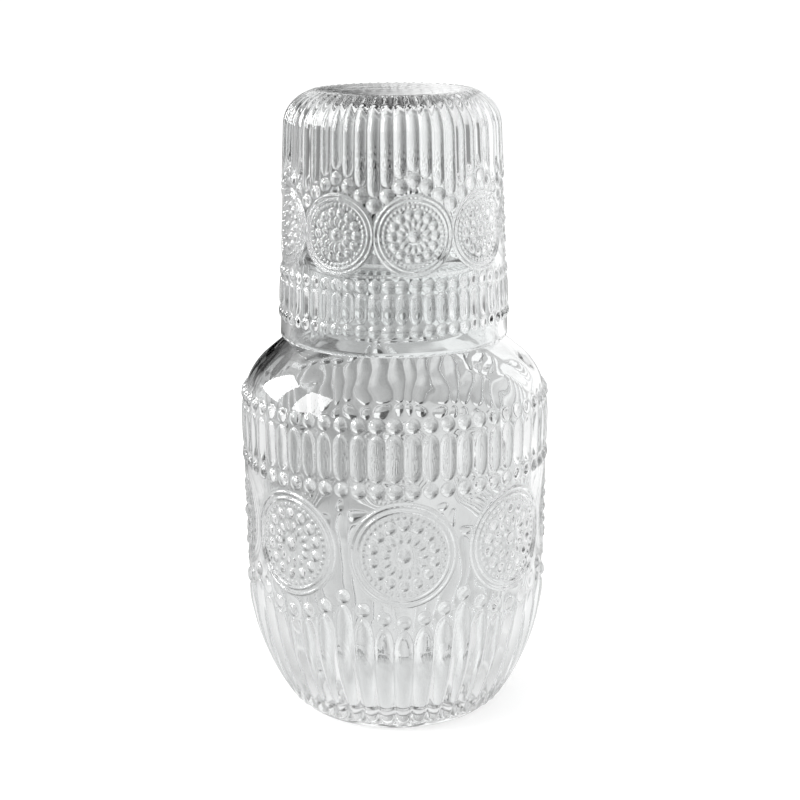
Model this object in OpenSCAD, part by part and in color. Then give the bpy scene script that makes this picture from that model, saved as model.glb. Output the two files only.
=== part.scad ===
// Bedside carafe in clear pressed glass, with its tumbler stood upside down
// over the neck as a lid. Z is the axis of both pieces, and the foot stands on Z = 0.

/* [Carafe] */
// Radius of the foot, where the rounded bottom would meet the table
foot_r = 34.8; // [30:0.2:40]
// Radius of the wall where the rounded bottom ends
wall_r = 52.1; // [48:0.1:56]
// Height of the rounded bottom, up to where the wall starts
bowl_h = 50; // [40:1:60]
// Radius of the wall where the shoulder starts
shoulder_r = 52.6; // [48:0.1:58]
// Height of the wall between the rounded bottom and the shoulder
wall_h = 59.6; // [50:0.2:70]
// Radius of the shoulder's rounded edge, seen in section
shoulder_bend_r = 21; // [17:0.5:24]
// Slope of the shoulder above its rounded edge, in degrees from upright
shoulder_slope = 50; // [42:1:56]
// Height of the neck above the hollow bend at its root, lip included
neck_h = 20.2; // [12:0.2:30]
// Outside radius of the neck
neck_r = 29.2; // [26:0.1:31]
// Radius of the hollow bend where the shoulder turns up into the neck, seen in section
neck_bend_r = 6; // [3:0.5:8]
// Thickness of the wall
carafe_wall = 3.6; // [2.5:0.1:4.5]
// Thickness of the bottom
carafe_floor = 7; // [4:0.5:10]
// Radius of the rounded corner inside the bottom, seen in section
inner_corner_r = 10; // [6:0.5:14]
// Radius of the rounded edge of the foot, seen in section
foot_edge_r = 1.6; // [0.8:0.1:3]
// Radius of the shallow hollow under the foot
punt_r = 27; // [20:0.5:30]
// Depth of the shallow hollow under the foot
punt_depth = 1.5; // [0.5:0.1:3]
// How far the lip stands out from the neck
lip_out = 1.2; // [0.6:0.1:2]

/* [Tumbler] */
// Height of the tumbler
tumbler_h = 83.6; // [76:0.2:92]
// Outside radius of the tumbler at its rim
rim_r = 39.2; // [38:0.1:42]
// Angle by which the tumbler narrows towards its base, in degrees
draft = 2.6; // [1:0.1:4]
// Radius of the rounded edge of the tumbler's base, seen in section
base_bend_r = 12.4; // [9:0.2:15]
// Thickness of the tumbler's wall
tumbler_wall = 3; // [2:0.1:4]
// Thickness of the tumbler's base
tumbler_floor = 4.5; // [3.5:0.5:8]
// Radius of the rounded corner inside the tumbler's base, seen in section
tumbler_corner_r = 7; // [5:0.5:11]
// Radius of the shallow hollow in the tumbler's base
dimple_r = 18; // [12:0.5:20]
// Depth of the shallow hollow in the tumbler's base
dimple_depth = 0.3; // [0.2:0.1:2]
// Clearance between the tumbler's rim and the shoulder that carries it
seat_gap = 0.25; // [0.1:0.05:0.4]

/* [Ornament on the carafe] */
// Number of beads in each of the two rings
ring_beads = 56; // [36:1:58]
// Turn of the rings from the side of the carafe, in degrees
ring_turn = -0.16; // [-3:0.02:3]
// Radius of a ring's beads where they meet the wall
ring_bead_r = 2.3; // [1.5:0.1:2.4]
// How far the rings' beads stand out from the wall
ring_bead_rise = 1.2; // [0.6:0.1:1.4]
// Height of the upper ring above the start of the shoulder
upper_ring_up = 3.9; // [1:0.1:6]
// Distance of the lower ring below the start of the shoulder
lower_ring_down = 18.1; // [17:0.1:20]
// Number of medallions round the carafe
medals = 8; // [5:1:8]
// Turn of the medallions from the side of the carafe, in degrees
medal_turn = 2.86; // [-10:0.02:10]
// Radius of a medallion
medal_r = 17.6; // [14:0.2:18]
// Height of the medallions' centres above the start of the wall
medal_up = 19.6; // [18:0.2:21]
// Radius of the beads in the swag below the medallions, where they meet the wall
swag_bead_r = 2.3; // [1.5:0.1:2.4]
// How far the swag's beads stand out from the wall
swag_bead_rise = 1.1; // [0.6:0.1:1.4]
// Distance of the swag's lowest bead below a medallion's centre
swag_down = 23.7; // [23:0.1:26]
// Height of the swag, from its lowest bead to its highest
swag_h = 8.7; // [4:0.1:10]

/* [Ornament on the tumbler] */
// Number of beads in each of the tumbler's two rings
cup_beads = 54; // [36:1:54]
// Turn of the tumbler's rings from its side, in degrees
cup_ring_turn = 0.68; // [-3:0.02:3]
// Radius of the beads in the tumbler's rings where they meet the wall
cup_bead_r = 1.9; // [1.2:0.1:2]
// How far the beads stand out from the tumbler's wall
cup_bead_rise = 0.85; // [0.4:0.05:1.2]
// Height of the first ring above the tumbler's rim
cup_ring_up = 8.9; // [6:0.1:10]
// Height of the second ring above the tumbler's rim
cup_upper_ring_up = 23.5; // [22:0.1:25]
// Number of arches that the tumbler's swag makes round it
cup_arches = 9; // [6:1:9]
// Turn of the arches' tops from the tumbler's side, in degrees
cup_swag_turn = 0.28; // [-10:0.02:10]
// Radius of the beads in the tumbler's swag, where they meet the wall
cup_swag_bead_r = 1.9; // [1.2:0.1:2]
// Height of the swag's highest beads above the tumbler's rim
cup_swag_up = 57.9; // [54:0.1:60]
// Height of the tumbler's swag, from its lowest bead to its highest
cup_swag_h = 8.2; // [4:0.1:9]
// Distance from the swag up to where the grooves between the tumbler's ribs start
cup_groove_up = 3; // [2.6:0.1:6]
// Width of a groove between two ribs
cup_groove_w = 2.4; // [1:0.1:3]
// Depth of a groove between two ribs
cup_groove_depth = 0.8; // [0.4:0.1:1]

/* [Hidden] */
$fn = 96;
glass_colour = [0.86, 0.88, 0.88, 0.45];
// How far a cutting shape runs past what it cuts
overrun = 1;
// Facets round the ornament's small pieces
small_fn = 36;
// Beads stand in runs of this many from the middle of one arch or medallion to the next
swag_run = 6;
// How the swags hang: 1 is a straight slant from bead to bead, and more is rounder
swag_bow = 1.7;
cup_swag_bow = 1.18;
// The two raised rings of a medallion, as shares of its radius
medal_ring_shares = [1, 0.885];
medal_ring_w_share = 0.05;
medal_ring_rise_share = 0.03;

// Arc of the rounded bottom, which stands upright where it meets the wall
bowl_bend_r = (pow(wall_r - foot_r, 2) + pow(bowl_h, 2)) / (2 * (wall_r - foot_r));
bowl_centre = [wall_r - bowl_bend_r, bowl_h];
// Arc of the shoulder, and the hollow bend at the root of the neck
shoulder_z = bowl_h + wall_h;
shoulder_centre = [shoulder_r - shoulder_bend_r, shoulder_z];
root_centre = [
    neck_r + neck_bend_r,
    on_slope(shoulder_bend_r + neck_bend_r, neck_r + neck_bend_r)
];
mouth_z = root_centre[1] + neck_h;
// The lip is a round bead on the neck's wall
lip_r = (carafe_wall + lip_out) / 2;
lip_centre = [neck_r + lip_out - lip_r, mouth_z - lip_r];

// The tumbler's rim is round and as thick as its wall, and stands on the shoulder's slope
rim_bend_r = tumbler_wall / 2;
rim_centre = [
    rim_r - rim_bend_r,
    on_slope(shoulder_bend_r + rim_bend_r + seat_gap, rim_r - rim_bend_r)
];
rim_z = rim_centre[1] - rim_bend_r;
top_z = rim_z + tumbler_h;
base_centre = wall_corner(base_bend_r, rim_bend_r, top_z);
hollow_centre = wall_corner(tumbler_corner_r, -rim_bend_r, top_z - tumbler_floor);

// Heights of the two rings and of the swag's lowest or highest bead on each piece
ring_zs = [shoulder_z - lower_ring_down, shoulder_z + upper_ring_up];
cup_ring_zs = [rim_z + cup_ring_up, rim_z + cup_upper_ring_up];
medal_z = bowl_h + medal_up;
swag_low_z = medal_z - swag_down;
cup_swag_high_z = rim_z + cup_swag_up;
swag_beads = medals * swag_run;
cup_swag_beads = cup_arches * swag_run;

// Radius of the carafe's wall at a height, and how far it tilts back there
carafe_at = function (z) z > shoulder_z ? spot_on(shoulder_centre, shoulder_bend_r, z)
    : z < bowl_h ? spot_on(bowl_centre, bowl_bend_r, z)
    : [wall_r + (shoulder_r - wall_r) * (z - bowl_h) / wall_h, 0];

// Radius of the tumbler's wall at a height, and how far it tilts back there
tumbler_at = function (z)
    [rim_centre[0] + rim_bend_r / cos(draft) - (z - rim_centre[1]) * tan(draft), draft];

// Radius and tilt of an arc of the section at a height
function spot_on(centre, r, z) = let (turn = asin((z - centre[1]) / r))
    [on_arc(centre, r, turn)[0], turn];

// Radius of the arc that stands out by rise over a chord of half this length
function cap_r(half, rise) = (pow(half, 2) + pow(rise, 2)) / (2 * rise);

// How far a swag has moved at a bead, counted from the middle of an arch or a medallion
function swag(bead, height, bow) = let (step = (bead + swag_run / 2) % swag_run - swag_run / 2)
    height * pow(abs(step) / (swag_run / 2), bow);

// Height, at a radius, of what lies this far from the shoulder's centre along its slope
function on_slope(distance, radius) = shoulder_centre[1]
    + (distance - (radius - shoulder_centre[0]) * cos(shoulder_slope)) / sin(shoulder_slope);

// A point at an angle from level on an arc
function on_arc(centre, r, angle) = centre + r * [cos(angle), sin(angle)];

// Centre of an arc that turns the tumbler's wall, outside or inside, into a level face
function wall_corner(r, side, level) = [
    rim_centre[0] + (side - r - (level - r - rim_centre[1]) * sin(draft)) / cos(draft),
    level - r
];

// Centre of an arc that turns the rounded bottom, taken in by inset, into a level face
function bowl_corner(r, inset, level) = [
    bowl_centre[0] + sqrt(pow(bowl_bend_r - inset - r, 2) - pow(bowl_h - level - r, 2)),
    level + r
];

// Half section of a shallow dish, cut into a level face at a height
module dish_section(r, depth, level, up) {
    dish_bend_r = (pow(r, 2) + pow(depth, 2)) / (2 * depth);
    translate([0, level + up * (depth - dish_bend_r)]) intersection() {
        circle(dish_bend_r, $fn = 4 * $fn);
        translate([0, -dish_bend_r]) square([r + overrun, 2 * dish_bend_r]);
    }
}

// Half section of the rounded bottom, with its corner rounded
module bowl_section(inset, corner_r, level) {
    bowl_r = bowl_bend_r - inset;
    centre = bowl_corner(corner_r, inset, level);
    touch = bowl_centre + (centre - bowl_centre) * bowl_r / (bowl_r - corner_r);
    intersection() {
        translate(bowl_centre) circle(bowl_r, $fn = 4 * $fn);
        translate([0, touch[1]]) square([wall_r, bowl_h - touch[1]]);
    }
    translate(centre) circle(corner_r);
    polygon([[0, level], [centre[0], level], centre, touch, [0, touch[1]]]);
}

// Half section of the carafe up to its mouth, taken in by inset
module carafe_section(inset, corner_r, level, mouth) {
    bend_r = shoulder_bend_r - inset;
    root_r = neck_bend_r + inset;
    bowl_section(inset, corner_r, level);
    polygon([
        [0, bowl_h], [wall_r - inset, bowl_h],
        [shoulder_r - inset, shoulder_z], [0, shoulder_z]
    ]);
    intersection() {
        translate(shoulder_centre) circle(bend_r, $fn = 2 * $fn);
        translate([0, shoulder_z]) square([shoulder_r, shoulder_bend_r]);
    }
    difference() {
        polygon([
            [0, shoulder_z], shoulder_centre,
            on_arc(shoulder_centre, bend_r, shoulder_slope),
            on_arc(root_centre, -root_r, shoulder_slope), root_centre,
            [neck_r - inset, root_centre[1]], [0, root_centre[1]]
        ]);
        translate(root_centre) circle(root_r);
    }
    translate([0, root_centre[1]]) square([neck_r - inset, mouth - root_centre[1]]);
}

// Puts a child on a wall, at an angle round the axis and a height, facing outwards
module on_wall(at, angle, z) {
    spot = at(z);
    rotate(angle) translate([spot[0], 0, z]) rotate([0, -spot[1], 0]) children();
}

// A bead: a ball sunk until it stands out by rise, on a round foot of radius r
module bead(r, rise) {
    ball_r = cap_r(r, rise);
    translate([rise - ball_r, 0]) sphere(ball_r, $fn = small_fn);
}

// Section of a groove's cutter, with its edge sunk to depth and its width at the surface
module wedge(w, depth) {
    half_w = w / 2 * (1 + overrun / depth);
    polygon([[-depth, 0], [overrun, half_w], [overrun, -half_w]]);
}

// The raised rings of all the medallions: tubes that point outwards, cut to a thin skin of wall
module medal_rings(at, z, r, count, turn) {
    low = z - r - overrun;
    high = z + r + overrun;
    rise = r * medal_ring_rise_share;
    start = sqrt(pow(at(z)[0], 2) - pow(r, 2)) - overrun;
    intersection() {
        difference() {
            translate([0, 0, low]) cylinder(high - low, at(low)[0] + rise, at(high)[0] + rise);
            translate([0, 0, low]) cylinder(high - low, at(low)[0] - overrun, at(high)[0] - overrun);
        }
        for (i = [0:count - 1], share = medal_ring_shares) {
            rotate(turn + i * 360 / count) translate([start, 0, z]) rotate([0, 90, 0])
                linear_extrude(at(z)[0] + rise + overrun - start) difference() {
                    circle(r * share);
                    circle(r * (share - medal_ring_w_share));
                }
        }
    }
}

// The carafe: rounded bottom, wall, shoulder and neck in one piece of glass
module carafe() {
    color(glass_colour) union() {
        rotate_extrude() {
            difference() {
                carafe_section(0, foot_edge_r, 0, lip_centre[1]);
                carafe_section(carafe_wall, inner_corner_r, carafe_floor, mouth_z + overrun);
                dish_section(punt_r, punt_depth, 0, 1);
            }
            translate(lip_centre) circle(lip_r);
        }
        for (i = [0:2 * ring_beads - 1])
            on_wall(carafe_at, ring_turn + i * 360 / ring_beads, ring_zs[i % 2])
                bead(ring_bead_r, ring_bead_rise);
        for (i = [0:swag_beads - 1])
            on_wall(
                carafe_at, medal_turn + i * 360 / swag_beads,
                swag_low_z + swag(i, swag_h, swag_bow))
                bead(swag_bead_r, swag_bead_rise);
        medal_rings(carafe_at, medal_z, medal_r, medals, medal_turn);
    }
}

// Half section of the tumbler's outside, from the middle of its rim to its base
module tumbler_section() {
    polygon([
        [0, rim_centre[1]], rim_centre, on_arc(rim_centre, rim_bend_r, draft),
        on_arc(base_centre, base_bend_r, draft), base_centre,
        [base_centre[0], top_z], [0, top_z]
    ]);
    translate(base_centre) circle(base_bend_r);
}

// Half section of the tumbler's hollow
module hollow_section() {
    inner_edge = on_arc(rim_centre, -rim_bend_r, draft);
    polygon([
        [0, rim_centre[1] - overrun], [inner_edge[0], rim_centre[1] - overrun], inner_edge,
        on_arc(hollow_centre, tumbler_corner_r, draft), hollow_centre,
        [hollow_centre[0], top_z - tumbler_floor], [0, top_z - tumbler_floor]
    ]);
    translate(hollow_centre) circle(tumbler_corner_r);
}

// The tumbler, upside down on the carafe's shoulder
module tumbler() {
    color(glass_colour) union() {
        difference() {
            rotate_extrude() {
                difference() {
                    tumbler_section();
                    hollow_section();
                    dish_section(dimple_r, dimple_depth, top_z, -1);
                }
                translate(rim_centre) circle(rim_bend_r);
            }
            for (i = [0:cup_swag_beads - 1])
                on_wall(
                    tumbler_at, cup_swag_turn + (i + 0.5) * 360 / cup_swag_beads,
                    cup_swag_high_z - swag(i + 0.5, cup_swag_h, cup_swag_bow) + cup_groove_up)
                    linear_extrude(tumbler_h) wedge(cup_groove_w, cup_groove_depth);
        }
        for (i = [0:2 * cup_beads - 1])
            on_wall(tumbler_at, cup_ring_turn + i * 360 / cup_beads, cup_ring_zs[i % 2])
                bead(cup_bead_r, cup_bead_rise);
        for (i = [0:cup_swag_beads - 1])
            on_wall(
                tumbler_at, cup_swag_turn + i * 360 / cup_swag_beads,
                cup_swag_high_z - swag(i, cup_swag_h, cup_swag_bow))
                bead(cup_swag_bead_r, cup_bead_rise);
    }
}

carafe();
tumbler();
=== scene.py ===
import math

import bpy
import numpy as np
from mathutils import Matrix


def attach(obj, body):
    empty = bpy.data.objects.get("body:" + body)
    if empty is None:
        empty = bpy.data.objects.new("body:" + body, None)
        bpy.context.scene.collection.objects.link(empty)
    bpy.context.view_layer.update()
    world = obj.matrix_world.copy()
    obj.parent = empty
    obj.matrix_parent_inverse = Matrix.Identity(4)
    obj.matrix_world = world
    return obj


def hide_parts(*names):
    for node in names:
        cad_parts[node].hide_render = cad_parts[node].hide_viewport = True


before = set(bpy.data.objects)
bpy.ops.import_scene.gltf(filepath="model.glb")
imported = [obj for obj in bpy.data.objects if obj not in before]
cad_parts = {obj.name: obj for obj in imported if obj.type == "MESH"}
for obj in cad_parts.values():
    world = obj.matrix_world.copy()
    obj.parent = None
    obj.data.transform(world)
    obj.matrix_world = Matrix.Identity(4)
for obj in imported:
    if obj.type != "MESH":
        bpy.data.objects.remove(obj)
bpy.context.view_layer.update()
print("frame loaded")

mm = 0.001


def onArc(centre, radius, degrees):
    turn = math.radians(degrees)
    return (centre[0] + radius * math.cos(turn), centre[1] + radius * math.sin(turn))


# Both outlines run with the glass on their left hand, so a step (dr, dz) faces out along (dz, -dr).
# A row is radius, height, the two parts of that facing, and the skin that it carries.
plain, raised, wavy = 0, 1, 2


def arc(centre, radius, start, end, spacing, skin=plain):
    count = math.ceil(abs(math.radians(end - start)) * radius / spacing) + 1
    side = 1 if end > start else -1
    rows = []
    for degrees in np.linspace(start, end, max(count, 3)):
        facing = onArc((0, 0), side, degrees)
        rows.append((*onArc(centre, radius, degrees), *facing, skin))
    return rows


def straight(first, last, spacing, skin=plain):
    length = math.dist(first, last)
    facing = ((last[1] - first[1]) / length, (first[0] - last[0]) / length)
    rows = []
    for share in np.linspace(0, 1, max(math.ceil(length / spacing) + 1, 2)):
        place = [a + (b - a) * share for a, b in zip(first, last)]
        rows.append((*place, *facing, skin))
    return rows


def joined(stretches):
    rows = list(stretches[0])
    for stretch in stretches[1:]:
        rows += stretch[1:]  # the first row of each repeats the last of the one before
    return np.array(rows, dtype=float)


# Heights of the relief, in mm over the plain wall. Outside its edge each shape goes below the
# wall, so that swell() can join it with a small fillet.
def swell(under, shape, fillet):
    near = np.maximum(fillet - np.abs(under - shape), 0)
    return np.maximum(under, shape) + near**2 / (4 * fillet)


def bead(distance, radius, rise):
    ball = (radius**2 + rise**2) / (2 * rise)
    return np.sqrt(np.maximum(ball**2 - distance**2, 0)) - (ball - rise)


leastWidth = 0.01  # mm, keeps the pointed ends of flutes and ovals from dividing by nothing


def cushion(across, beyond, halfWidth, rise, bulge):
    share = np.minimum(np.abs(across) / halfWidth, 1)
    low = math.sqrt(bulge**2 - 1)
    height = rise * (np.sqrt(bulge**2 - share**2) - low) / (bulge - low)
    outside = np.maximum(np.abs(across) - halfWidth, beyond)
    return np.where(outside > 0, -outside, height)


def nearest(angle, count, turn):
    pitch = 2 * math.pi / count
    index = np.round((angle - math.radians(turn)) / pitch)
    return angle - math.radians(turn) - index * pitch, index.astype(int) % count


def medallion(right, up, look, fillet):
    radius = look["radius"]
    out = np.hypot(right, up)
    around = np.arctan2(right, -up)
    height = np.full(out.shape, -1.0)
    for share in look["ringShares"]:
        ridge = 1 - ((out - radius * share) / look["ringHalfWidth"])**2
        height = swell(height, look["ringRise"] * ridge, fillet)
    for kind in ("seeds", "pearls", "drops"):
        row = look[kind]
        turn = nearest(around, row["count"], row["turn"])[0]
        place = out * np.cos(turn) - radius * row["share"]
        distance = np.hypot(place / row["stretch"], out * np.sin(turn))
        height = swell(height, bead(distance, row["radius"], row["rise"]), fillet)
    return swell(height, bead(out, look["boss"]["radius"], look["boss"]["rise"]), fillet)


def flute(angle, along, radius, tips, end, look):
    turn, index = nearest(angle, look["count"], look["turn"])
    pitch = math.pi * radius / look["count"]
    fromTip = (tips[index] - along) * look["way"]
    toEnd = (along - end) * look["way"]
    opening = np.clip(fromTip / look["arch"], 0, 1)
    closing = np.clip(toEnd / look["endArch"], 0, 1)
    shape = np.sqrt(1 - (1 - opening)**2) * np.sqrt(1 - (1 - closing)**2)
    halfWidth = np.maximum(pitch * look["widthShare"] * shape, leastWidth)
    beyond = np.maximum(-fromTip, -toEnd)
    low = look["lowering"] * (1 - np.clip(toEnd / look["loweringLength"], 0, 1))
    rise = (look["rise"] + look["sink"]) * shape**look["crown"]
    ground = -look["sink"] * opening * closing
    rib = cushion(radius * turn, beyond, halfWidth, rise, look["bulge"])
    return ground, rib + ground - low * shape


def ornament(angle, along, radius, at, look):
    fillet = look["fillet"]
    disc = look["medallion"]
    swag = look["swag"]
    count = disc["count"] * swag["run"]
    step = (np.arange(count) + swag["run"] // 2) % swag["run"] - swag["run"] // 2
    hang = swag["rise"] * (np.abs(step) * 2 / swag["run"])**swag["bow"]
    levels = disc["height"] - swag["way"] * (swag["drop"] - hang)
    places = np.array([at(level) for level in levels])
    flutes = {**look["flutes"], "count": count, "turn": disc["turn"], "way": swag["way"]}
    tips = places - swag["way"] * flutes["gap"]
    height, ribs = flute(angle, along, radius, tips, at(flutes["end"]), flutes)
    bands = look["bands"]
    turn = nearest(angle, bands["count"], bands["turn"])[0] * radius
    for level in (bands["upper"], bands["lower"]):
        shape = bead(np.hypot(turn, along - at(level)), bands["radius"], bands["rise"])
        height = swell(height, shape, fillet)
    oval = look["ovals"]
    up = along - (at(bands["upper"]) + at(bands["lower"])) / 2
    share = np.minimum(np.abs(up) * 2 / oval["length"], 1)
    taper = np.sqrt(1 - share**oval["square"])
    halfWidth = np.maximum(taper * oval["width"] / 2, leastWidth)
    rise = oval["rise"] * taper**oval["crown"]
    beyond = np.abs(up) - oval["length"] / 2
    height = swell(height, cushion(turn, beyond, halfWidth, rise, oval["bulge"]), fillet)
    turn = nearest(angle, disc["count"], disc["turn"])[0] * radius
    height = swell(height, medallion(turn, along - at(disc["height"]), disc, fillet), fillet)
    turn, index = nearest(angle, count, disc["turn"])
    shape = bead(np.hypot(turn * radius, along - places[index]), swag["radius"], swag["beadRise"])
    height = swell(height, shape, fillet)
    return swell(height, ribs, fillet)


# Heights of the faint waves inside, where the glass cooled last
def waves(places, look):
    draw = np.random.default_rng(look["seed"])
    total = np.zeros(len(places))
    for _ in range(look["count"]):
        way = draw.normal(size=3)
        way *= 2 * math.pi / (np.linalg.norm(way) * draw.uniform(*look["lengths"]))
        total += np.cos(places @ way + draw.uniform(0, 2 * math.pi))
    return look["height"] * total / math.sqrt(look["count"] / 2)


# The corners that the faces over one ring take from it: a tip gives one, a finer ring several
def ringCorners(start, count, steps):
    if count == 1:
        return [np.full(len(steps), start)]
    ratio = count // len(steps)
    return [start + (steps * ratio + k) % count for k in range(ratio + 1)]


def turned(name, rows, around, look):
    places = []
    starts = []
    counts = []
    lengths = np.hypot(np.diff(rows[:, 0]), np.diff(rows[:, 1]))
    along = np.concatenate([[0], np.cumsum(lengths)])
    outside = rows[:, 4] == raised
    calm = along[rows[:, 4] != wavy]
    wall = rows[outside]

    def at(level):
        return np.interp(level, wall[:, 1], along[outside])

    for index, (radius, level, faceOut, faceUp, skin) in enumerate(rows):
        count = around if skin == raised else around // rowStep["coarser"]
        if radius < tip:
            count = 1
        angle = np.arange(count) * 2 * math.pi / count
        height = np.zeros(count)
        if skin == raised:
            seen = angle + math.pi / 2  # measured from the front, which faces -Y
            height = ornament(seen, along[index], radius, at, look)
        if skin == wavy:
            ring = [radius * np.cos(angle), radius * np.sin(angle), np.full(count, level)]
            fade = min(np.abs(calm - along[index]).min() / look["waves"]["fade"], 1)
            height = waves(np.stack(ring, 1), look["waves"]) * fade
        out = radius + faceOut * height
        up = np.clip(level + faceUp * height, 0, rows[:, 1].max())  # the table and the base stay flat
        starts.append(sum(counts))
        counts.append(count)
        places.append(np.stack([out * np.cos(angle), out * np.sin(angle), up], 1))
    faces = []
    for low, high, countLow, countHigh in zip(starts, starts[1:], counts, counts[1:]):
        fewer = min(countLow, countHigh)
        steps = np.arange(fewer if fewer > 1 else max(countLow, countHigh))
        below = ringCorners(low, countLow, steps)
        above = ringCorners(high, countHigh, steps)
        faces += np.stack(below + above[::-1], 1).tolist()
    mesh = bpy.data.meshes.new(name)
    mesh.from_pydata((np.concatenate(places) * mm).tolist(), [], faces)
    mesh.shade_smooth()
    mesh.validate()
    piece = bpy.data.objects.new(name, mesh)
    bpy.context.scene.collection.objects.link(piece)
    return piece


# Mesh rows: mm from row to row on each piece's relief, on the flutes' plain run, on smooth glass,
# on bends and on the two round lips. A smooth row has fewer corners than one with relief.
rowStep = {
    "carafe": 0.34,
    "tumbler": 0.272,
    "flutes": 0.7,
    "smooth": 1.8,
    "bend": 0.5,
    "lip": 0.25,
    "coarser": 4,
}
tip = 1e-6  # mm, a row as narrow as this is a single point

# The carafe in mm and degrees, the same as the solid it stands for
carafe = {
    "foot": 34.8,
    "footEdge": 1.6,
    "punt": 27.0,
    "puntDepth": 1.5,
    "wall": 52.1,
    "bowlHeight": 50.0,
    "shoulder": 52.6,
    "wallHeight": 59.6,
    "shoulderBend": 21.0,
    "shoulderSlope": 50.0,
    "neck": 29.2,
    "neckHeight": 20.2,
    "neckBend": 6.0,
    "lipOut": 1.2,
    "lipFillet": 1.5,
    "glass": 3.6,
    "floor": 7.0,
    "innerCorner": 10.0,
    "flutesEnd": -15.0,  # degrees below level where the long plain run of the flutes ends
    "ringsEnd": 22.0,  # degrees up the shoulder where the relief ends
    "around": 1008,  # mesh corners round a row with relief, 18 to a bead
}

# What is pressed up from its wall. Heights are over the table.
carafeRelief = {
    "fillet": 0.3,
    "waves": {"seed": 5, "count": 24, "lengths": (9, 18), "height": 0.07, "fade": 8},
    "bands": {"count": 56, "turn": -0.16, "upper": 113.5, "lower": 91.5, "radius": 2.35, "rise": 1.15},
    "ovals": {"length": 15.6, "width": 5.7, "rise": 0.95, "bulge": 1.1, "square": 3.2, "crown": 0.6},
    "medallion": {
        "count": 8, "turn": 2.86, "height": 69.6, "radius": 17.6,
        "ringShares": (1.0, 0.885), "ringHalfWidth": 0.55, "ringRise": 0.55,
        "seeds": {"count": 40, "turn": 0, "share": 0.775, "radius": 0.75, "rise": 0.4, "stretch": 1},
        "pearls": {"count": 14, "turn": 0, "share": 0.6, "radius": 1.85, "rise": 0.9, "stretch": 1},
        "drops": {"count": 14, "turn": 12.86, "share": 0.36, "radius": 1.05, "rise": 0.6, "stretch": 1.7},
        "boss": {"radius": 2.3, "rise": 1.1},
    },
    "swag": {"run": 6, "way": 1, "drop": 23.7, "rise": 8.7, "bow": 1.7, "radius": 2.4, "beadRise": 1.15},
    "flutes": {
        "gap": 3.2, "arch": 9.0, "end": 2.6, "endArch": 3.0, "widthShare": 1.0,
        "rise": 0.95, "sink": 0.45, "bulge": 1.2, "crown": 0.7, "lowering": 0.0, "loweringLength": 1.0
    },
}


def bowlCorner(radius, inset, level):
    bend = bowlBend - inset - radius
    return (bowlCentre[0] + math.sqrt(bend**2 - (bowlCentre[1] - level - radius)**2), level + radius)


def onSlope(distance, radius):
    slope = math.radians(carafe["shoulderSlope"])
    drop = (radius - shoulderCentre[0]) * math.cos(slope)
    return shoulderCentre[1] + (distance - drop) / math.sin(slope)


def dish(radius, depth):
    return (radius**2 + depth**2) / (2 * depth)


inside = carafe["wall"] - carafe["glass"]
bowlBend = ((carafe["wall"] - carafe["foot"])**2 + carafe["bowlHeight"]**2) / (
    2 * (carafe["wall"] - carafe["foot"]))
bowlCentre = (carafe["wall"] - bowlBend, carafe["bowlHeight"])
shoulderCentre = (
    carafe["shoulder"] - carafe["shoulderBend"],
    carafe["bowlHeight"] + carafe["wallHeight"])
rootCentre = (
    carafe["neck"] + carafe["neckBend"],
    onSlope(carafe["shoulderBend"] + carafe["neckBend"], carafe["neck"] + carafe["neckBend"]))
mouth = rootCentre[1] + carafe["neckHeight"]
lipBend = (carafe["glass"] + carafe["lipOut"]) / 2
lipCentre = (carafe["neck"] + carafe["lipOut"] - lipBend, mouth - lipBend)


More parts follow.
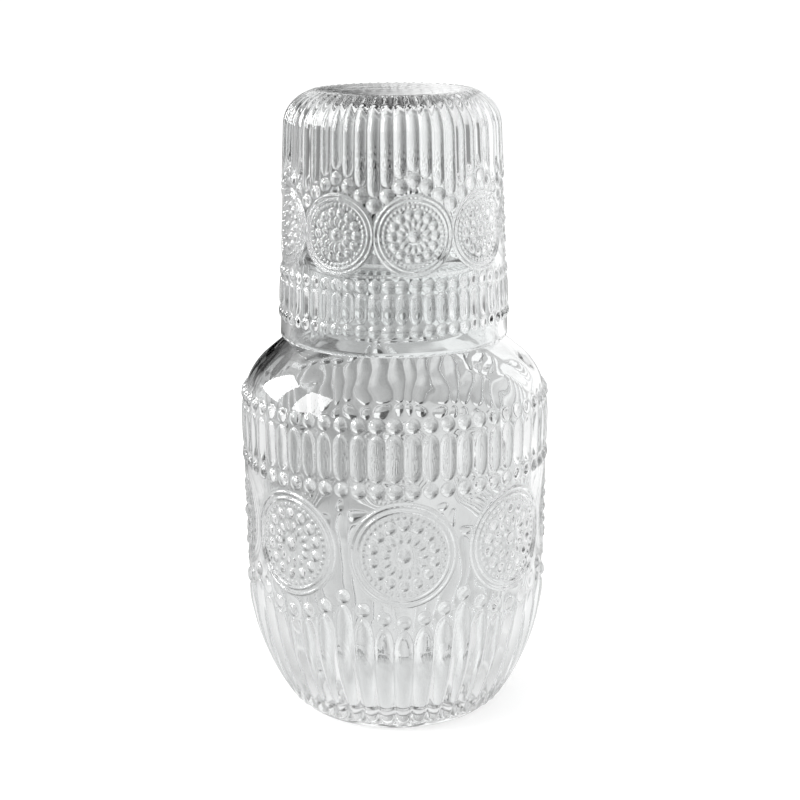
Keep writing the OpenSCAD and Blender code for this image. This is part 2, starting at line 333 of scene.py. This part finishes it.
def carafeOutline():
    fine = rowStep["carafe"]
    smooth = rowStep["smooth"]
    slope = carafe["shoulderSlope"]
    glass = carafe["glass"]
    edge = bowlCorner(carafe["footEdge"], 0, 0)
    touch = math.degrees(math.atan2(edge[1] - bowlCentre[1], edge[0] - bowlCentre[0]))
    punt = dish(carafe["punt"], carafe["puntDepth"])
    puntCentre = (0, carafe["puntDepth"] - punt)
    puntEnd = 90 - math.degrees(math.asin(carafe["punt"] / punt))
    flutesEnd = carafe["flutesEnd"]
    ringsEnd = carafe["ringsEnd"]
    bend = carafe["shoulderBend"]
    fillet = carafe["lipFillet"]
    filletCentre = (
        carafe["neck"] + fillet,
        lipCentre[1] - math.sqrt((lipBend + fillet)**2 - (carafe["neck"] + fillet - lipCentre[0])**2))
    lipStart = math.degrees(
        math.atan2(filletCentre[1] - lipCentre[1], filletCentre[0] - lipCentre[0]))
    corner = bowlCorner(carafe["innerCorner"], glass, carafe["floor"])
    innerTouch = math.degrees(math.atan2(corner[1] - bowlCentre[1], corner[0] - bowlCentre[0]))
    rootInside = carafe["neckBend"] + glass
    shoulderInside = bend - glass
    return joined([
        arc(puntCentre, punt, 90, puntEnd, smooth),
        straight((carafe["punt"], 0), (edge[0], 0), smooth),
        arc(edge, carafe["footEdge"], -90, touch, fine, raised),
        arc(bowlCentre, bowlBend, touch, flutesEnd, rowStep["flutes"], raised),
        arc(bowlCentre, bowlBend, flutesEnd, 0, fine, raised),
        straight(onArc(bowlCentre, bowlBend, 0), onArc(shoulderCentre, bend, 0), fine, raised),
        arc(shoulderCentre, bend, 0, ringsEnd, fine, raised),
        arc(shoulderCentre, bend, ringsEnd, slope, rowStep["bend"]),
        straight(
            onArc(shoulderCentre, bend, slope), onArc(rootCentre, -carafe["neckBend"], slope), smooth),
        arc(rootCentre, carafe["neckBend"], 180 + slope, 180, rowStep["bend"]),
        straight((carafe["neck"], rootCentre[1]), (carafe["neck"], filletCentre[1]), smooth),
        arc(filletCentre, fillet, 180, 180 + lipStart, rowStep["lip"]),
        arc(lipCentre, lipBend, lipStart, 180, rowStep["lip"]),
        straight(
            (carafe["neck"] - glass, lipCentre[1]), (carafe["neck"] - glass, rootCentre[1]),
            smooth, wavy),
        arc(rootCentre, rootInside, 180, 180 + slope, rowStep["bend"], wavy),
        straight(
            onArc(rootCentre, -rootInside, slope), onArc(shoulderCentre, shoulderInside, slope),
            smooth, wavy),
        arc(shoulderCentre, shoulderInside, slope, 0, rowStep["bend"], wavy),
        straight(
            (carafe["shoulder"] - glass, shoulderCentre[1]), (inside, bowlCentre[1]), smooth, wavy),
        arc(bowlCentre, bowlBend - glass, 0, innerTouch, smooth, wavy),
        arc(corner, carafe["innerCorner"], innerTouch, -90, rowStep["bend"], wavy),
        straight((corner[0], carafe["floor"]), (0, carafe["floor"]), smooth, wavy),
    ])


# The tumbler in mm and degrees, upside down over the neck
tumbler = {
    "height": 83.6,
    "rim": 39.2,
    "draft": 2.6,
    "baseBend": 12.4,
    "glass": 3.0,
    "floor": 4.5,
    "innerCorner": 7.0,
    "dimple": 18.0,
    "dimpleDepth": 0.3,
    "seatGap": 0.25,
    "ribsEnd": 84.0,  # degrees up the base's rounded edge where the relief ends
    "around": 864,  # mesh corners round a row with relief, 16 to a bead
}

# What is pressed up from its wall. Heights are over the table.
tumblerRelief = {
    "fillet": 0.25,
    "waves": {"seed": 7, "count": 24, "lengths": (8, 15), "height": 0.02, "fade": 8},
    "bands": {"count": 54, "turn": -2.65, "upper": 156.2, "lower": 141.6, "radius": 2.0, "rise": 0.9},
    "ovals": {"length": 9.8, "width": 3.7, "rise": 0.8, "bulge": 1.1, "square": 4.0, "crown": 0.6},
    "medallion": {
        "count": 9, "turn": 10.28, "height": 172.5, "radius": 12.7,
        "ringShares": (1.0, 0.885), "ringHalfWidth": 0.5, "ringRise": 0.5,
        "seeds": {"count": 40, "turn": 0, "share": 0.775, "radius": 0.6, "rise": 0.35, "stretch": 1},
        "pearls": {"count": 14, "turn": 12.86, "share": 0.565, "radius": 1.4, "rise": 0.7, "stretch": 1},
        "drops": {"count": 14, "turn": 0, "share": 0.34, "radius": 0.75, "rise": 0.5, "stretch": 1.7},
        "boss": {"radius": 1.75, "rise": 0.9},
    },
    "swag": {"run": 6, "way": -1, "drop": 18.1, "rise": 8.2, "bow": 1.18, "radius": 2.1, "beadRise": 0.95},
    "flutes": {
        "gap": 3.0, "arch": 4.0, "end": 216.1, "endArch": 4.0, "widthShare": 1.0,
        "rise": 0.85, "sink": 0.4, "bulge": 1.2, "crown": 0.7, "lowering": 0.75, "loweringLength": 12.0
    },
}

rimBend = tumbler["glass"] / 2
rimCentre = (
    tumbler["rim"] - rimBend,
    onSlope(carafe["shoulderBend"] + rimBend + tumbler["seatGap"], tumbler["rim"] - rimBend))
top = rimCentre[1] - rimBend + tumbler["height"]


def wallCorner(radius, side, level):
    draft = math.radians(tumbler["draft"])
    across = side - radius - (level - radius - rimCentre[1]) * math.sin(draft)
    return (rimCentre[0] + across / math.cos(draft), level - radius)


def tumblerOutline():
    fine = rowStep["tumbler"]
    smooth = rowStep["smooth"]
    draft = tumbler["draft"]
    base = wallCorner(tumbler["baseBend"], rimBend, top)
    hollow = wallCorner(tumbler["innerCorner"], -rimBend, top - tumbler["floor"])
    dimple = dish(tumbler["dimple"], tumbler["dimpleDepth"])
    dimpleCentre = (0, top - tumbler["dimpleDepth"] + dimple)
    dimpleStart = math.degrees(math.asin(tumbler["dimple"] / dimple)) - 90
    ribsEnd = tumbler["ribsEnd"]
    bend = tumbler["baseBend"]
    corner = tumbler["innerCorner"]
    return joined([
        straight((0, top - tumbler["floor"]), (hollow[0], top - tumbler["floor"]), smooth, wavy),
        arc(hollow, corner, 90, draft, rowStep["bend"], wavy),
        straight(onArc(hollow, corner, draft), onArc(rimCentre, -rimBend, draft), smooth, wavy),
        arc(rimCentre, rimBend, 180 + draft, 360 + draft, rowStep["lip"]),
        straight(onArc(rimCentre, rimBend, draft), onArc(base, bend, draft), fine, raised),
        arc(base, bend, draft, ribsEnd, fine, raised),
        arc(base, bend, ribsEnd, 90, rowStep["bend"]),
        straight((base[0], top), (tumbler["dimple"], top), smooth),
        arc(dimpleCentre, dimple, dimpleStart, -90, smooth),
    ])


carafePiece = turned("carafe_pressed_glass", carafeOutline(), carafe["around"], carafeRelief)
print("carafe made", len(carafePiece.data.polygons))
tumblerPiece = turned("tumbler_pressed_glass", tumblerOutline(), tumbler["around"], tumblerRelief)
print("tumbler made", len(tumblerPiece.data.polygons))


def linear(hexColour):
    parts = [int(hexColour[i:i + 2], 16) / 255 for i in (1, 3, 5)]
    return [p / 12.92 if p <= 0.04045 else ((p + 0.055) / 1.055)**2.4 for p in parts] + [1]


def addNode(tree, kind, settings=None, links=None):
    node = tree.nodes.new(kind)
    for key, value in (settings or {}).items():
        if isinstance(key, str) and key in node.bl_rna.properties:
            setattr(node, key, value)
        else:
            node.inputs[key].default_value = value
    for key, source in (links or {}).items():
        tree.links.new(source, node.inputs[key])
    return node


# Soda-lime glass pressed in an iron mould and fire polished: clear, colourless and bright, with a
# soft skin over every edge and a faint waviness where the mould chilled it
pressedGlass = {
    "colour": "#FDFEFE",
    "ior": 1.52,
    "roughness": 0.0,
    "waveSize": 9.0,  # mm
    "waveHeight": 0.02,  # mm
    "waveDetail": 1.0,
    "waveRoughness": 0.4,
}


def glassMaterial(name, look):
    material = bpy.data.materials.new(name)
    material.use_nodes = True
    tree = material.node_tree
    tree.nodes.clear()
    place = addNode(tree, "ShaderNodeTexCoord").outputs["Object"]
    wave = addNode(
        tree, "ShaderNodeTexNoise",
        {"Scale": 1 / (look["waveSize"] * mm), "Detail": look["waveDetail"],
         "Roughness": look["waveRoughness"]},
        {"Vector": place})
    bump = addNode(
        tree, "ShaderNodeBump", {"Strength": 1.0, "Distance": look["waveHeight"] * mm},
        {"Height": wave.outputs["Fac"]})
    shader = addNode(
        tree, "ShaderNodeBsdfPrincipled",
        {"Base Color": linear(look["colour"]), "Transmission Weight": 1.0, "IOR": look["ior"],
         "Roughness": look["roughness"]},
        {"Normal": bump.outputs["Normal"]})
    addNode(tree, "ShaderNodeOutputMaterial", None, {"Surface": shader.outputs["BSDF"]})
    return material


glass = glassMaterial("pressed_soda_lime_glass", pressedGlass)
for piece, body in ((carafePiece, "carafe"), (tumblerPiece, "tumbler")):
    piece.data.materials.append(glass)
    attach(piece, body)
    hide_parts(body)
print("glass finished")

# The stage: a white floor for the eye, and round it the greys of a plain studio that the glass bends in.
# Each round gives greys at angles, in degrees from straight behind the set to the right: a dark curtain
# stands behind on the left, a white board behind on the right, a dark room in front. On the floor the
# rounds lie one outside the other, with their edges in metres from the middle. There the floor glows with
# them only into the glass, in place of its lit white, so they are painted shade and light on the table,
# with a painted shadow right under the foot. On the walls they lie one over the other, with their edges as
# the sine of the height over level.
stage = {
    "floor": 20.0,
    "floorSides": 96,
    "floorDrop": 0.05,  # mm under the foot, so that the two faces don't fight
    "floorColour": "#BDBDBD",
    "floorGlow": 0.58,
    # Right under the foot the floor glows darker into the glass: a painted shadow of the glass on the
    # table.
    "under": 0.62,
    "footShadowEdge": (0.012, 0.03),
    "foot": (
        (-180, 0.75), (-135, 0.95), (-100, 0.6), (-60, 0.95), (-30, 0.55), (0, 0.75), (30, 0.55),
        (60, 1.05), (100, 0.65), (135, 0.9), (180, 0.75)),
    "footEdge": (0.16, 0.24),
    "table": (
        (-180, 0.9), (-60, 0.85), (-35, 0.7), (-30, 0.3), (-5, 0.3), (5, 0.75), (20, 0.7),
        (35, 1.05), (90, 0.88), (180, 0.9)),
    "tableEdge": (0.42, 0.5),
    "near": (
        (-180, 0.75), (-55, 0.85), (-40, 0.45), (-20, 0.25), (-5, 0.4), (5, 0.5), (24, 0.45),
        (34, 1.3), (60, 1.1), (90, 0.6), (100, 0.1), (150, 0.1), (180, 0.75)),
    "nearEdge": (0.9, 1.1),
    "low": (
        (-180, 0.0), (-140, 0.0), (-130, 1.2), (-92, 1.0), (-88, 0.3), (-72, 0.2), (-64, 1.1),
        (-55, 1.1), (-49, 0.5), (-32, 0.45), (-30, 0.0), (-4, 0.0), (-1, 0.2), (1, 1.0), (50, 1.2),
        (66, 1.1), (75, 0.3), (90, 0.3), (95, 0.6), (130, 0.6), (140, 0.0), (180, 0.0)),
    "lowEdge": (0.12, 0.16),
    "up": (
        (-180, 1.0), (-100, 0.76), (-55, 1.1), (-45, 0.4), (-32, 0.15), (-12, 0.15), (-2, 0.3),
        (2, 1.2), (24, 0.9), (45, 1.3), (75, 0.8), (95, 0.2), (150, 0.2), (180, 1.0)),
    "upEdge": (0.36, 0.46),
    "high": (
        (-180, 1.0), (-80, 1.2), (-10, 1.1), (30, 1.05), (80, 0.8), (100, 0.2), (150, 0.2),
        (180, 1.0)),
    "highEdge": (0.7, 0.85),
    "top": 0.8,
}


def roundGreys(tree, vector, stops):
    parts = addNode(tree, "ShaderNodeSeparateXYZ", None, {0: vector})
    turn = addNode(
        tree, "ShaderNodeMath", {"operation": "ARCTAN2"},
        {0: parts.outputs["X"], 1: parts.outputs["Y"]})
    share = addNode(tree, "ShaderNodeMapRange", {1: -math.pi, 2: math.pi}, {0: turn.outputs[0]})
    ramp = addNode(tree, "ShaderNodeValToRGB", None, {0: share.outputs[0]})
    elements = ramp.color_ramp.elements
    for index, (degrees, level) in enumerate(stops):
        element = elements[index] if index < 2 else elements.new(1)
        element.position = 0.5 + degrees / 360
        element.color = (level, level, level, 1)
    return ramp.outputs["Color"]


def blend(tree, distance, edge, inner, outer):
    share = addNode(tree, "ShaderNodeMapRange", {1: edge[0], 2: edge[1]}, {0: distance})
    links = {0: share.outputs[0]}
    settings = {"data_type": "RGBA"}
    for socket, grey in ((6, inner), (7, outer)):
        if isinstance(grey, float):
            settings[socket] = [grey] * 3 + [1]
        else:
            links[socket] = grey
    return addNode(tree, "ShaderNodeMix", settings, links).outputs[2]


def seenInGlass(tree, direct, bent):
    rays = addNode(tree, "ShaderNodeLightPath")
    both = addNode(
        tree, "ShaderNodeMath", {"operation": "MAXIMUM"},
        {0: rays.outputs["Is Transmission Ray"], 1: rays.outputs["Is Glossy Ray"]})
    return addNode(
        tree, "ShaderNodeMixShader", None, {0: both.outputs[0], 1: direct, 2: bent}).outputs[0]


def floorMaterial():
    material = bpy.data.materials.new("studio_floor")
    material.use_nodes = True
    tree = material.node_tree
    tree.nodes.clear()
    paint = addNode(tree, "ShaderNodeBsdfDiffuse", {"Color": linear(stage["floorColour"])})
    glow = addNode(tree, "ShaderNodeEmission", {"Strength": stage["floorGlow"]})
    lit = addNode(tree, "ShaderNodeAddShader", None, {0: paint.outputs[0], 1: glow.outputs[0]})
    place = addNode(tree, "ShaderNodeNewGeometry").outputs["Position"]
    away = addNode(tree, "ShaderNodeVectorMath", {"operation": "LENGTH"}, {0: place})
    distance = away.outputs["Value"]
    # Into the glass the floor shows no light that falls on it. It glows in these greys instead: painted
    # shade and light, darkest in a painted shadow under the foot.
    grey = blend(
        tree, distance, stage["footShadowEdge"], stage["under"], roundGreys(tree, place, stage["foot"]))
    grey = blend(tree, distance, stage["footEdge"], grey, roundGreys(tree, place, stage["table"]))
    grey = blend(tree, distance, stage["tableEdge"], grey, roundGreys(tree, place, stage["near"]))
    grey = blend(tree, distance, stage["nearEdge"], grey, roundGreys(tree, place, stage["low"]))
    bent = addNode(tree, "ShaderNodeEmission", None, {"Color": grey})
    shown = seenInGlass(tree, lit.outputs[0], bent.outputs[0])
    addNode(tree, "ShaderNodeOutputMaterial", None, {"Surface": shown})
    return material


bpy.ops.mesh.primitive_circle_add(
    vertices=stage["floorSides"], radius=stage["floor"], fill_type="NGON",
    location=(0, 0, -stage["floorDrop"] * mm))
floor = bpy.context.object
floor.name = "floor"
floor.data.materials.append(floorMaterial())

world = bpy.data.worlds.new("studio")
bpy.context.scene.world = world
world.use_nodes = True
tree = world.node_tree
tree.nodes.clear()
way = addNode(tree, "ShaderNodeTexCoord").outputs["Generated"]
parts = addNode(tree, "ShaderNodeSeparateXYZ", None, {0: way})
rise = parts.outputs["Z"]
grey = blend(
    tree, rise, stage["lowEdge"], roundGreys(tree, way, stage["low"]),
    roundGreys(tree, way, stage["up"]))
grey = blend(tree, rise, stage["upEdge"], grey, roundGreys(tree, way, stage["high"]))
grey = blend(tree, rise, stage["highEdge"], grey, stage["top"])
bent = addNode(tree, "ShaderNodeBackground", None, {"Color": grey})
white = addNode(tree, "ShaderNodeBackground", {"Color": [1, 1, 1, 1], "Strength": 1.0})
shown = seenInGlass(tree, white.outputs[0], bent.outputs[0])
addNode(tree, "ShaderNodeOutputWorld", None, {"Surface": shown})


# Two panes of one tall window on the left, whose highlights lie on the carafe's shoulder, and a
# soft box that only fills. Places and sizes are in metres, and each lamp faces its target.
lamps = {
    "window_front_pane": {
        "place": (-1.22, -0.44, 0.85), "target": (0, 0, 0.85), "size": (0.6, 0.95), "watts": 20,
        "mirrored": True},
    "window_back_pane": {
        "place": (-1.2, 0.49, 0.8), "target": (0, 0, 0.8), "size": (0.6, 0.85), "watts": 17,
        "mirrored": True},
    "fill_softbox": {
        "place": (0.9, -0.5, 0.6), "target": (0, 0, 0.1), "size": (0.5, 0.8), "watts": 3,
        "mirrored": False},
}


def softLamp(name, look):
    light = bpy.data.lights.new(name, "AREA")
    light.shape = "RECTANGLE"
    light.size = look["size"][0]
    light.size_y = look["size"][1]
    light.energy = look["watts"]
    lamp = bpy.data.objects.new(name, light)
    bpy.context.scene.collection.objects.link(lamp)
    lamp.location = look["place"]
    direction = np.array(look["target"]) - np.array(look["place"])
    lamp.rotation_euler = (
        math.atan2(math.hypot(direction[0], direction[1]), -direction[2]), 0,
        math.atan2(direction[1], direction[0]) - math.pi / 2)
    lamp.visible_glossy = look["mirrored"]
    lamp.visible_transmission = False


for name, look in lamps.items():
    softLamp(name, look)
print("stage set")

# The photograph's view: metres, degrees, and the shift of its framing
view = {
    "place": (0, -0.5864, 0.2651),
    "pitch": 75.054,
    "roll": -0.426,
    "lens": 78.0,
    "sensor": 36,
    "shift": 0.0067,
}
camera = bpy.data.objects.new("camera", bpy.data.cameras.new("camera"))
camera.data.lens = view["lens"]
camera.data.sensor_width = view["sensor"]
camera.data.shift_x = view["shift"]
camera.location = view["place"]
tilt = Matrix.Rotation(math.radians(view["pitch"]), 3, "X")
camera.rotation_euler = (tilt @ Matrix.Rotation(math.radians(view["roll"]), 3, "Z")).to_euler()
bpy.context.scene.collection.objects.link(camera)
bpy.context.scene.camera = camera

bpy.context.scene.view_settings.view_transform = "Standard"
# Light passes eight walls of glass, and turns many times in the thick bases, before it leaves
turns = {"all": 64, "reflections": 10}
cycles = bpy.context.scene.cycles
cycles.max_bounces = turns["all"]
cycles.transmission_bounces = turns["all"]
cycles.glossy_bounces = turns["reflections"]
